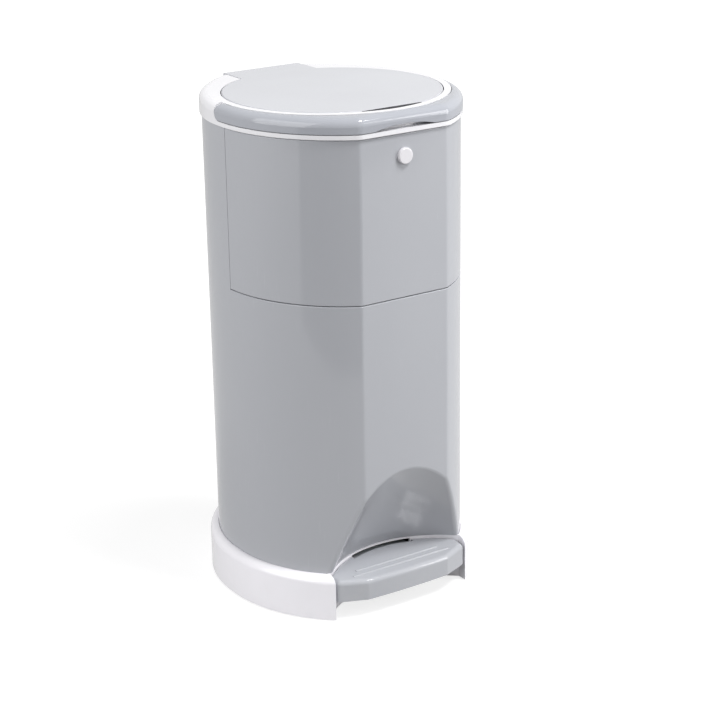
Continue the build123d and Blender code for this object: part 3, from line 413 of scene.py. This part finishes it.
@dataclass(frozen=True)
class MouldedSkin(ShaderGroup):
    """Fine skin, flow marks, handling scuffs and floor dust of moulded plastic."""

    name: ClassVar[str] = "moulded_skin"
    inputs: ClassVar[tuple[GroupInput, ...]] = (
        GroupInput("Vector", "NodeSocketVector"),
        GroupInput("Colour", "NodeSocketColor", grey(0.5)),
        GroupInput("Roughness", "NodeSocketFloat", 0.3),
        GroupInput("Grain", "NodeSocketFloat", 900.0),
        GroupInput("Mottle", "NodeSocketFloat", 0.04),
        GroupInput("Scuff", "NodeSocketFloat", 0.1),
        GroupInput("Dust", "NodeSocketFloat", 0.1),
    )
    flow: Pattern = Pattern(7.0, 2.0, 0.45)
    flow_drawn_out: Point = (1.0, 1.0, 0.35)
    flow_span: Span = (0.25, 0.75)
    flow_sheen_span: Span = (0.2, 0.8)
    flow_sheen: Span = (-0.02, 0.03)
    hairline: Pattern = Pattern(620.0, 2.0, 0.6)
    hairline_drawn_out: Point = (1.0, 1.0, 0.05)
    hairline_span: Span = (0.63, 0.7)
    patch: Pattern = Pattern(16.0, 2.0, 0.5)
    patch_span: Span = (0.5, 0.68)
    scuff_tint: Colour = (0.93, 0.93, 0.94)
    scuff_tint_share: float = 0.35
    scuff_roughening: float = 0.25
    scuff_depth: float = 0.6
    dust: Pattern = Pattern(55.0, 4.0, 0.6)
    dust_span: Span = (0.42, 0.72)
    dust_reach: float = 60.0 * MM
    dust_tint: Colour = (0.62, 0.6, 0.57)
    dust_roughening: float = 0.5
    skin: Pattern = Pattern(900.0, 3.0, 0.55)
    skin_span: Span = (0.3, 0.7)
    skin_sheen: Span = (-0.015, 0.02)

    def wire(self, w: Wiring, given: bpy.types.NodeOutputs) -> Surface:
        """Wire the effect inside its group.

        Args:
            w: Wiring of the group's tree.
            given: The group's inputs, as sockets by name.

        Returns:
            The surface.
        """
        vector = given["Vector"]
        # Slow change of tone, drawn out upwards as the plastic flowed in the mould.
        flow = w.noise(w.stretched(vector, self.flow_drawn_out), self.flow)
        shift = w.product(w.remap(flow, self.flow_span, (-1.0, 1.0)), given["Mottle"])
        colour = w.blend(w.math("MAXIMUM", shift, 0.0), given["Colour"], WHITE)
        colour = w.blend(w.math("MAXIMUM", w.product(shift, -1.0), 0.0), colour, BLACK)
        # Hair-fine scuffs, in patches.
        lines = w.noise(w.stretched(vector, self.hairline_drawn_out), self.hairline)
        patches = w.remap(w.noise(vector, self.patch), self.patch_span, (0.0, given["Scuff"]))
        scuffed = w.product(w.remap(lines, self.hairline_span), patches)
        colour = w.blend(w.product(scuffed, self.scuff_tint_share), colour, rgba(self.scuff_tint))
        # Dust, which settles near the floor.
        low = w.remap(w.axes(vector)[2], (0.0, self.dust_reach), (1.0, 0.0))
        cloud = w.remap(w.noise(vector, self.dust), self.dust_span, (0.0, given["Dust"]))
        dusty = w.product(low, cloud)
        colour = w.blend(dusty, colour, rgba(self.dust_tint))
        # The mould's own fine skin.
        skin = w.noise(vector, self.skin, given["Grain"])
        roughness = w.total(
            given["Roughness"],
            w.remap(flow, self.flow_sheen_span, self.flow_sheen),
            w.product(scuffed, self.scuff_roughening),
            w.product(dusty, self.dust_roughening),
            w.remap(skin, self.skin_span, self.skin_sheen),
        )
        height = w.math("SUBTRACT", skin, w.product(scuffed, self.scuff_depth))
        return Surface(colour, roughness, height)


@dataclass(frozen=True)
class DrawnMetal(ShaderGroup):
    """Long fine lines and a film of handling on drawn or ground metal."""

    name: ClassVar[str] = "drawn_metal"
    inputs: ClassVar[tuple[GroupInput, ...]] = (
        GroupInput("Vector", "NodeSocketVector"),
        GroupInput("Along", "NodeSocketVector"),
        GroupInput("Colour", "NodeSocketColor", (0.6, 0.6, 0.62, 1.0)),
        GroupInput("Roughness", "NodeSocketFloat", 0.3),
        GroupInput("Stain", "NodeSocketFloat", 0.2),
    )
    line: Pattern = Pattern(3200.0, 2.0, 0.7)
    line_span: Span = (0.35, 0.65)
    line_tint: Colour = (0.3, 0.3, 0.31)
    line_tint_share: float = 0.22
    line_sheen_span: Span = (0.3, 0.7)
    line_sheen: Span = (-0.07, 0.09)
    film: Pattern = Pattern(160.0, 3.0, 0.55)
    film_span: Span = (0.5, 0.75)
    film_tint: Colour = (0.28, 0.26, 0.24)
    film_roughening: float = 0.35

    def wire(self, w: Wiring, given: bpy.types.NodeOutputs) -> Surface:
        """Wire the effect inside its group.

        Args:
            w: Wiring of the group's tree.
            given: The group's inputs, as sockets by name.

        Returns:
            The surface.
        """
        lines = w.noise(given["Along"], self.line)
        film = w.noise(given["Vector"], self.film)
        stained = w.remap(film, self.film_span, (0.0, given["Stain"]))
        share = w.remap(lines, self.line_span, (0.0, self.line_tint_share))
        colour = w.blend(share, given["Colour"], rgba(self.line_tint))
        colour = w.blend(stained, colour, rgba(self.film_tint))
        roughness = w.total(
            given["Roughness"],
            w.remap(lines, self.line_sheen_span, self.line_sheen),
            w.product(stained, self.film_roughening),
        )
        return Surface(colour, roughness, lines)


# ---------------------------------------------------------------- finishes
def new_material(name: str) -> tuple[bpy.types.Material, Wiring, bpy.types.Node]:
    """Start a material that holds one Principled shader.

    Args:
        name: The material's name.

    Returns:
        The material, its wiring and its Principled node.
    """
    made = bpy.data.materials.new(name)
    made.use_nodes = True
    return made, Wiring(made.node_tree), made.node_tree.nodes["Principled BSDF"]


@dataclass(frozen=True, kw_only=True)
class Finish(ABC):
    """A finish with fine relief, for pieces of one material slot."""

    name: str
    slot: Slot
    colour: Colour
    grain_depth: float

    @abstractmethod
    def surface(self, w: Wiring, places: bpy.types.NodeSocket) -> Surface:
        """Wire the finish's colour, roughness and height.

        Args:
            w: Wiring of the material's tree.
            places: The object's own coordinates.

        Returns:
            The surface.
        """

    def constants(self) -> dict[str, float]:
        """List the values that are set straight on the Principled shader.

        Returns:
            Each value by its input's name.
        """
        return {}

    def material(self) -> bpy.types.Material:
        """Build the finish as a material on first use.

        Returns:
            The material.
        """
        found = bpy.data.materials.get(self.name)
        if found:
            return found
        made, w, shader = new_material(self.name)
        surface = self.surface(w, w.places())
        w.join(surface.colour, shader.inputs["Base Color"])
        w.join(surface.roughness, shader.inputs["Roughness"])
        w.join(w.relief(surface.height, self.grain_depth), shader.inputs["Normal"])
        for name, value in self.constants().items():
            shader.inputs[name].default_value = value
        return made


@dataclass(frozen=True, kw_only=True)
class MouldedPlastic(Finish):
    """Injection-moulded plastic of one colour, glossy to satin."""

    roughness: float
    grain_depth: float = 0.008 * MM
    grain: float = 700.0
    mottle: float = 0.03
    scuff: float = 0.12
    dust: float = 0.15
    gloss_index: float = 1.5

    def surface(self, w: Wiring, places: bpy.types.NodeSocket) -> Surface:
        """Wire the plastic's colour, roughness and height.

        Args:
            w: Wiring of the material's tree.
            places: The object's own coordinates.

        Returns:
            The surface.
        """
        return MouldedSkin().surface(
            w,
            Vector=places,
            Colour=rgba(self.colour),
            Roughness=self.roughness,
            Grain=self.grain,
            Mottle=self.mottle,
            Scuff=self.scuff,
            Dust=self.dust,
        )

    def constants(self) -> dict[str, float]:
        """List the values that are set straight on the Principled shader.

        Returns:
            Each value by its input's name.
        """
        return {"IOR": self.gloss_index}


@dataclass(frozen=True, kw_only=True)
class DrawnSteel(Finish):
    """Steel of pins, shafts, rods, screws and spring wire."""

    run: Run
    slot: Slot = Slot.STEEL
    colour: Colour = (0.56, 0.57, 0.59)
    grain_depth: float = 0.01 * MM
    roughness: float = 0.28
    stain: float = 0.25

    def surface(self, w: Wiring, places: bpy.types.NodeSocket) -> Surface:
        """Wire the steel's colour, roughness and height.

        Args:
            w: Wiring of the material's tree.
            places: The object's own coordinates.

        Returns:
            The surface.
        """
        return DrawnMetal().surface(
            w,
            Vector=places,
            Along=w.stretched(places, self.run.value),
            Colour=rgba(self.colour),
            Roughness=self.roughness,
            Stain=self.stain,
        )

    def constants(self) -> dict[str, float]:
        """List the values that are set straight on the Principled shader.

        Returns:
            Each value by its input's name.
        """
        return {"Metallic": 1.0}


@dataclass(frozen=True, kw_only=True)
class SoftRubber(Finish):
    """Matte rubber with a fine pitted skin and a dusty bloom."""

    slot: Slot = Slot.RUBBER
    colour: Colour = (0.045, 0.045, 0.05)
    grain_depth: float = 0.06 * MM
    pit: Pattern = Pattern(1500.0, 3.0, 0.6)
    pit_span: Span = (0.3, 0.7)
    pit_roughness: Span = (0.62, 0.82)
    cloud: Pattern = Pattern(90.0, 3.0, 0.55)
    cloud_span: Span = (0.4, 0.75)
    bloom: float = 0.35
    bloom_tone: float = 0.22

    def surface(self, w: Wiring, places: bpy.types.NodeSocket) -> Surface:
        """Wire the rubber's colour, roughness and height.

        Args:
            w: Wiring of the material's tree.
            places: The object's own coordinates.

        Returns:
            The surface.
        """
        pits = w.noise(places, self.pit)
        cloud = w.remap(w.noise(places, self.cloud), self.cloud_span, (0.0, self.bloom))
        colour = w.blend(cloud, rgba(self.colour), grey(self.bloom_tone))
        return Surface(colour, w.remap(pits, self.pit_span, self.pit_roughness), pits)


SHELL_GREY = MouldedPlastic(
    name="shell_grey", slot=Slot.GREY, colour=(0.415, 0.424, 0.454), roughness=0.07
)
BAND_GREY = MouldedPlastic(
    name="band_grey", slot=Slot.GREY, colour=(0.383, 0.396, 0.434), roughness=0.07
)
PEDAL_GREY = MouldedPlastic(
    name="pedal_grey", slot=Slot.GREY, colour=(0.425, 0.435, 0.465), roughness=0.06, scuff=0.2
)
LID_SATIN = MouldedPlastic(
    name="lid_satin", slot=Slot.LID, colour=(0.53, 0.537, 0.57), roughness=0.22
)
GLOSS_WHITE = MouldedPlastic(
    name="gloss_white", slot=Slot.WHITE, colour=(0.8, 0.795, 0.82), roughness=0.1
)
BASE_WHITE = MouldedPlastic(
    name="base_white", slot=Slot.WHITE, colour=(0.92, 0.905, 0.945), roughness=0.12, dust=0.08
)
BUTTON_WHITE = MouldedPlastic(
    name="button_white",
    slot=Slot.WHITE,
    colour=(0.71, 0.697, 0.725),
    roughness=0.16,
    grain=1100.0,
)
INNER_DARK = MouldedPlastic(
    name="inner_dark",
    slot=Slot.DARK,
    colour=(0.055, 0.056, 0.06),
    roughness=0.5,
    grain=420.0,
    grain_depth=0.08 * MM,
)
CASSETTE_DARK = MouldedPlastic(
    name="cassette_dark",
    slot=Slot.DARK,
    colour=(0.075, 0.078, 0.085),
    roughness=0.42,
    grain=520.0,
    grain_depth=0.06 * MM,
)
STEEL_X = DrawnSteel(name="steel_along_x", run=Run.ALONG_X)
STEEL_Y = DrawnSteel(name="steel_along_y", run=Run.ALONG_Y)
STEEL_Z = DrawnSteel(name="steel_along_z", run=Run.ALONG_Z)
RUBBER = SoftRubber(name="foot_rubber")


def dress_nodes(finish: Finish, *nodes: str) -> None:
    """Give CAD nodes a finish in every one of their material slots.

    Args:
        finish: The finish.
        *nodes: Names of the nodes.
    """
    for name in nodes:
        thing = bpy.data.objects[name]
        if not thing.material_slots:
            thing.data.materials.append(None)
        for place in thing.material_slots:
            place.material = finish.material()
        LOG.info("%s: %s", name, finish.name)


def link_piece(name: str, mesh: bmesh.types.BMesh, finish: Finish) -> bpy.types.Object:
    """Turn a bmesh into a smooth, dressed object at the origin.

    Args:
        name: The piece's name.
        mesh: The finished bmesh, which is freed.
        finish: The piece's finish.

    Returns:
        The new object.
    """
    data = bpy.data.meshes.new(name)
    bmesh.ops.recalc_face_normals(mesh, faces=mesh.faces)
    for face in mesh.faces:
        face.smooth = True
    mesh.to_mesh(data)
    mesh.free()
    piece = bpy.data.objects.new(name, data)
    bpy.context.scene.collection.objects.link(piece)
    data.materials.append(finish.material())
    LOG.info("%s: %s, %d faces", name, finish.name, len(data.polygons))
    return piece


# ---------------------------------------------------------------- sub-assemblies
@dataclass(kw_only=True)
class CoilSpring:
    """Compression spring wound from round wire, in the space of a plain CAD sleeve.
    """

    name: str
    node: str
    body: str
    joint: str
    wire_radius: float
    turns: float
    keep: float
    steps_per_turn: int = 20
    wire_sides: int = 10

    def build(self) -> bpy.types.Object:
        """Wind the wire inside the node's space.

        Returns:
            The spring.
        """
        low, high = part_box(self.node)
        middle = (low + high) / 2
        coil_radius = (high.x - low.x) / 2 - self.wire_radius
        rise = high.z - low.z - 2 * self.wire_radius
        steps = round(self.turns * self.steps_per_turn)
        start = Vector((middle.x + coil_radius, middle.y, low.z + self.wire_radius))
        mesh = bmesh.new()
        wire = bmesh.ops.create_circle(
            mesh,
            cap_ends=False,
            segments=self.wire_sides,
            radius=self.wire_radius,
            matrix=Matrix.Translation(start) @ Matrix.Rotation(math.pi / 2, 4, "X"),
        )
        first = mesh.edges[:]
        wound = bmesh.ops.spin(
            mesh,
            geom=wire["verts"] + first,
            cent=(middle.x, middle.y, 0.0),
            axis=(0.0, 0.0, 1.0),
            dvec=(0.0, 0.0, rise / steps),
            angle=2 * math.pi * self.turns,
            steps=steps,
            use_duplicate=False,
        )
        last = [edge for edge in wound["geom_last"] if isinstance(edge, bmesh.types.BMEdge)]
        bmesh.ops.holes_fill(mesh, edges=first + last, sides=0)
        piece = link_piece(self.name, mesh, STEEL_Z)
        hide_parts(self.node)
        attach(piece, self.body)
        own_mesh(piece)
        return piece


class SubAssembly(ABC):
    """A group of the pail's nodes and pieces that are dressed together."""

    @abstractmethod
    def dress(self) -> None:
        """Give the nodes their finishes and add the pieces."""


@dataclass
class Base(SubAssembly):
    """White base ring with its floor plate, feet and screws."""

    feet: int = 4
    screws: int = 4

    def dress(self) -> None:
        """Give the base's nodes their finishes."""
        dress_nodes(BASE_WHITE, "base_ring")
        dress_nodes(INNER_DARK, "floor_plate")
        dress_nodes(RUBBER, *[f"rubber_foot_{n}" for n in range(1, self.feet + 1)])
        dress_nodes(STEEL_Z, *[f"base_screw_{n}" for n in range(1, self.screws + 1)])


@dataclass
class Body(SubAssembly):
    """Grey shell with the inner floor and the rod's guides and cover."""

    guides: tuple[str, ...] = ("rod_guide_lower", "rod_guide_upper")

    def dress(self) -> None:
        """Give the body's nodes their finishes."""
        dress_nodes(SHELL_GREY, "body_shell")
        dress_nodes(INNER_DARK, "inner_floor", "rod_cover", *self.guides)


@dataclass
class Door(SubAssembly):
    """Front door with its hinge pins, push button, latch and liner cutter."""

    latch_spring: CoilSpring = field(
        default_factory=lambda: CoilSpring(
            name="latch_coil",
            node="latch_spring",
            body="door",
            joint="latch_slide",
            wire_radius=0.7 * MM,
            turns=7.5,
            keep=0.719,
        )
    )

    def dress(self) -> None:
        """Give the door's nodes their finishes and wind the latch's spring."""
        dress_nodes(SHELL_GREY, "front_door")
        dress_nodes(STEEL_Z, "door_hinge_pin_lower", "door_hinge_pin_upper")
        dress_nodes(BUTTON_WHITE, "release_button")
        dress_nodes(GLOSS_WHITE, "latch_bolt")
        dress_nodes(INNER_DARK, "latch_housing", "cutter_housing")
        dress_nodes(STEEL_X, "cutter_blade")
        self.latch_spring.build()


@dataclass
class Crown(SubAssembly):
    """White collar, carry handle and the hinged lid, whose front edge carries a dark strip of
    painted shade.
    """

    shade_strip_half_length: float = 35.0 * MM
    shade_strip_depth: float = 0.7 * MM
    shade_strip_height: float = 3.1 * MM
    shade_strip_drop: float = 0.15 * MM
    shade_strip_round: float = 0.25 * MM
    shade_strip_round_steps: int = 2
    shade_strip_round_profile: float = 0.5

    def build_shade_strip(self) -> bpy.types.Object:
        """Stick a dark strip of painted shade on the lid's flat front edge, where the gap to the
        collar's ring lies in shadow.

        Returns:
            The strip.
        """
        low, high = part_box("lid")
        size = (2 * self.shade_strip_half_length, self.shade_strip_depth, self.shade_strip_height)
        top = high.z - self.shade_strip_drop
        middle = Vector((0.0, low.y - self.shade_strip_depth / 2, top - self.shade_strip_height / 2))
        mesh = bmesh.new()
        bmesh.ops.create_cube(mesh, size=1.0)
        bmesh.ops.scale(mesh, vec=size, verts=mesh.verts)
        bmesh.ops.translate(mesh, vec=middle, verts=mesh.verts)
        bmesh.ops.bevel(
            mesh,
            geom=mesh.edges[:],
            offset=self.shade_strip_round,
            affect="EDGES",
            segments=self.shade_strip_round_steps,
            profile=self.shade_strip_round_profile,
        )
        # Painted shade: a dark rubber-finished strip put where the gap at the lid's front is only
        # in shadow.
        piece = link_piece("lid_front_shade_strip", mesh, RUBBER)
        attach(piece, "lid")
        return piece

    def dress(self) -> None:
        """Give the crown's nodes their finishes and add the lid's strip of painted shade."""
        self.build_shade_strip()
        dress_nodes(GLOSS_WHITE, "collar")
        dress_nodes(BAND_GREY, "carry_handle")
        dress_nodes(STEEL_X, "handle_pin_left", "handle_pin_right", "lid_hinge_pin")
        dress_nodes(LID_SATIN, "lid")
        dress_nodes(RUBBER, "lid_seal")
        dress_nodes(INNER_DARK, "lid_crank")


@dataclass
class PedalDrive(SubAssembly):
    """Foot pedal, its shaft and bearings, the return spring and the push rod."""

    return_spring: CoilSpring = field(
        default_factory=lambda: CoilSpring(
            name="pedal_coil",
            node="pedal_spring",
            body="pail",
            joint="pedal_hinge",
            wire_radius=0.9 * MM,
            turns=5.5,
            keep=0.825,
        )
    )

    def dress(self) -> None:
        """Give the drive's nodes their finishes and wind its spring."""
        dress_nodes(PEDAL_GREY, "pedal")
        dress_nodes(STEEL_X, "pedal_shaft")
        dress_nodes(INNER_DARK, "bearing_block_left", "bearing_block_right")
        dress_nodes(STEEL_Z, "push_rod")
        self.return_spring.build()


@dataclass
class LinerStore(SubAssembly):
    """Funnel, liner cassette and the two spring flaps of the throat."""

    sides: tuple[str, str] = ("left", "right")

    def dress(self) -> None:
        """Give the liner store's nodes their finishes."""
        dress_nodes(GLOSS_WHITE, "funnel")
        dress_nodes(CASSETTE_DARK, "liner_cassette", *[f"flap_{s}" for s in self.sides])
        dress_nodes(STEEL_Y, *[f"flap_pin_{s}" for s in self.sides])


# ---------------------------------------------------------------- studio
@dataclass(frozen=True, kw_only=True)
class SoftBox:
    """Rectangular lamp that looks at a point of the object."""

    name: str
    place: Point
    target: Point
    width: float
    height: float
    power: float

    def build(self) -> bpy.types.Object:
        """Add the lamp.

        Returns:
            The lamp's object.
        """
        lamp = bpy.data.lights.new(self.name, "AREA")
        lamp.shape = "RECTANGLE"
        lamp.size = self.width
        lamp.size_y = self.height
        lamp.energy = self.power
        thing = bpy.data.objects.new(self.name, lamp)
        bpy.context.scene.collection.objects.link(thing)
        aim = Vector(self.target) - Vector(self.place)
        turn = aim.to_track_quat("-Z", "Y").to_matrix().to_4x4()
        thing.matrix_world = Matrix.Translation(self.place) @ turn
        return thing


@dataclass(frozen=True, kw_only=True)
class PhotoCamera:
    """Camera that stands where the photograph's camera stood.

    Angles are in degrees, and the azimuth is seen from above, from the pail's front.
    """

    focal_pixels: float = 1950.0
    photo_pixels: float = 713.0
    sensor_width: float = 36.0
    distance: float = 2.05439
    elevation: float = 19.42
    azimuth: float = -33.4
    roll: float = -0.96
    aim_right: float = 0.01998
    aim_height: float = 0.23773
    clip_end: float = 50.0

    def build(self) -> bpy.types.Object:
        """Place the camera and look through it.

        Returns:
            The camera's object.
        """
        lens = bpy.data.cameras.new("camera")
        lens.sensor_width = self.sensor_width
        lens.lens = self.sensor_width * self.focal_pixels / self.photo_pixels
        lens.clip_end = self.clip_end
        tilt, turn, roll = (math.radians(a) for a in (self.elevation, self.azimuth, self.roll))
        level = Vector((math.sin(turn), -math.cos(turn), 0.0))
        back = level * math.cos(tilt) + Vector((0.0, 0.0, math.sin(tilt)))
        right = Vector((math.cos(turn), math.sin(turn), 0.0))
        up = back.cross(right)
        rolled_right = right * math.cos(roll) + up * math.sin(roll)
        rolled_up = up * math.cos(roll) - right * math.sin(roll)
        aim = Vector((0.0, LID_AXIS_Y, self.aim_height)) + right * self.aim_right
        pose = Matrix((rolled_right, rolled_up, back)).transposed().to_4x4()
        pose.translation = aim + back * self.distance
        camera = bpy.data.objects.new("camera", lens)
        bpy.context.scene.collection.objects.link(camera)
        camera.matrix_world = pose
        bpy.context.scene.camera = camera
        return camera


@dataclass(frozen=True, kw_only=True)
class StudioFloor:
    """Pale floor that shows white, keeps the pail's soft shadow and ends in a darker room.

    Gloss mirrors the room past the white table's front, which lies towards the camera, and
    right of its side edge. The camera itself sees the floor only.
    """

    reach: float = 6.0
    tone: float = 0.34
    roughness: float = 0.9
    near_glow: float = 0.76
    far_glow: float = 1.0
    glow_span: Span = (0.25, 0.8)
    mirrored_glow: float = 0.5
    room_tone: float = 0.1
    room_glow: float = 0.12
    camera_azimuth: float = PhotoCamera.azimuth
    table_front: float = 0.87
    table_front_blur: float = 0.03
    table_side: float = -71.0
    table_side_span: Span = (-0.02, 0.05)

    def build(self) -> bpy.types.Object:
        """Lay the floor.

        Returns:
            The floor's object.
        """
        mesh = bmesh.new()
        bmesh.ops.create_grid(mesh, x_segments=1, y_segments=1, size=self.reach)
        data = bpy.data.meshes.new("studio_floor")
        mesh.to_mesh(data)
        mesh.free()
        floor = bpy.data.objects.new("studio_floor", data)
        bpy.context.scene.collection.objects.link(floor)
        data.materials.append(self.paint())
        return floor

    def paint(self) -> bpy.types.Material:
        """Build the floor's paint, whose glow only the camera and gloss see.

        Returns:
            The material.
        """
        made, w, shader = new_material("studio_floor_paint")
        shader.inputs["Roughness"].default_value = self.roughness
        shader.inputs["Specular IOR Level"].default_value = 0.0
        shader.inputs["Emission Color"].default_value = WHITE
        rays = w.node("ShaderNodeLightPath").outputs
        unseen = w.math("SUBTRACT", 1.0, rays["Is Camera Ray"])
        room = w.product(unseen, self.room_share(w))
        colour = w.blend(room, grey(self.tone), grey(self.room_tone))
        w.join(colour, shader.inputs["Base Color"])
        spot = w.node("ShaderNodeVectorMath", operation="LENGTH")
        w.join(w.places(), spot.inputs[0])
        glow = w.remap(spot.outputs["Value"], self.glow_span, (self.near_glow, self.far_glow))
        mirrored = w.remap(room, (0.0, 1.0), (self.mirrored_glow, self.room_glow))
        strength = w.total(
            w.product(rays["Is Camera Ray"], glow),
            w.product(rays["Is Glossy Ray"], mirrored),
        )
        w.join(strength, shader.inputs["Emission Strength"])
        return made

    def room_share(self, w: Wiring) -> bpy.types.NodeSocket:
        """Find where the floor lies past the table, in the darker room.

        Args:
            w: Wiring of the floor's material.

        Returns:
            The room's share, from 0 to 1.
        """
        turn, side = math.radians(self.camera_azimuth), math.radians(self.table_side)
        x, y, _ = w.axes(w.places())
        towards = w.total(w.product(x, math.sin(turn)), w.product(y, -math.cos(turn)))
        across = w.total(w.product(x, math.cos(side)), w.product(y, math.sin(side)))
        front, blur = self.table_front, self.table_front_blur
        past_front = w.remap(towards, (front - blur, front + blur))
        past_side = w.remap(across, self.table_side_span)
        return w.product(past_front, past_side)


@dataclass(frozen=True, kw_only=True)
class Surround:
    """White surroundings, as strong as each kind of ray needs them."""

    seen: float = 1.0
    mirrored: float = 0.9
    light: float = 0.34

    def build(self) -> None:
        """Set the world: white where it is seen or mirrored, softer as a light."""
        world = bpy.data.worlds.new("studio_surround")
        world.use_nodes = True
        bpy.context.scene.world = world
        w = Wiring(world.node_tree)
        back = world.node_tree.nodes["Background"]
        back.inputs["Color"].default_value = WHITE
        rays = w.node("ShaderNodeLightPath").outputs
        seen = w.math("MAXIMUM", rays["Is Camera Ray"], rays["Is Transmission Ray"])
        glow = w.remap(rays["Is Glossy Ray"], (0.0, 1.0), (self.light, self.mirrored))
        w.join(w.remap(seen, (0.0, 1.0), (glow, self.seen)), back.inputs["Strength"])


@dataclass(frozen=True, kw_only=True)
class Studio:
    """Floor, surroundings, soft boxes and the camera."""

    floor: StudioFloor = StudioFloor()
    surround: Surround = Surround()
    camera: PhotoCamera = PhotoCamera()
    boxes: tuple[SoftBox, ...] = (
        SoftBox(
            name="key_box",
            place=(0.69, -1.07, 2.34),
            target=(0.0, 0.0, 0.3),
            width=0.9,
            height=0.65,
            power=45.0,
        ),
        SoftBox(
            name="right_box",
            place=(1.8, -1.65, 0.8),
            target=(0.0, 0.0, 0.2),
            width=1.2,
            height=1.5,
            power=34.0,
        ),
        SoftBox(
            name="left_box",
            place=(-2.08, -0.18, 1.1),
            target=(0.0, 0.0, 0.3),
            width=2.0,
            height=2.1,
            power=36.0,
        ),
    )

    def build(self) -> None:
        """Build the floor, surroundings, lamps and camera."""
        self.floor.build()
        self.surround.build()
        for box in self.boxes:
            box.build()
        self.camera.build()
        bpy.context.scene.view_settings.view_transform = "Standard"


@dataclass
class Pail:
    """The whole pail, in the order in which it is put together."""

    base: Base = field(default_factory=Base)
    body: Body = field(default_factory=Body)
    door: Door = field(default_factory=Door)
    crown: Crown = field(default_factory=Crown)
    drive: PedalDrive = field(default_factory=PedalDrive)
    liner: LinerStore = field(default_factory=LinerStore)

    def dress(self) -> None:
        """Dress every sub-assembly."""
        for part in (self.base, self.body, self.door, self.crown, self.drive, self.liner):
            part.dress()


def main() -> None:
    """Load the frame, dress the pail and build the studio."""
    logging.basicConfig(level=logging.INFO, format="%(name)s: %(message)s")
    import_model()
    Pail().dress()
    Studio().build()


if __name__ == "__main__":
    main()
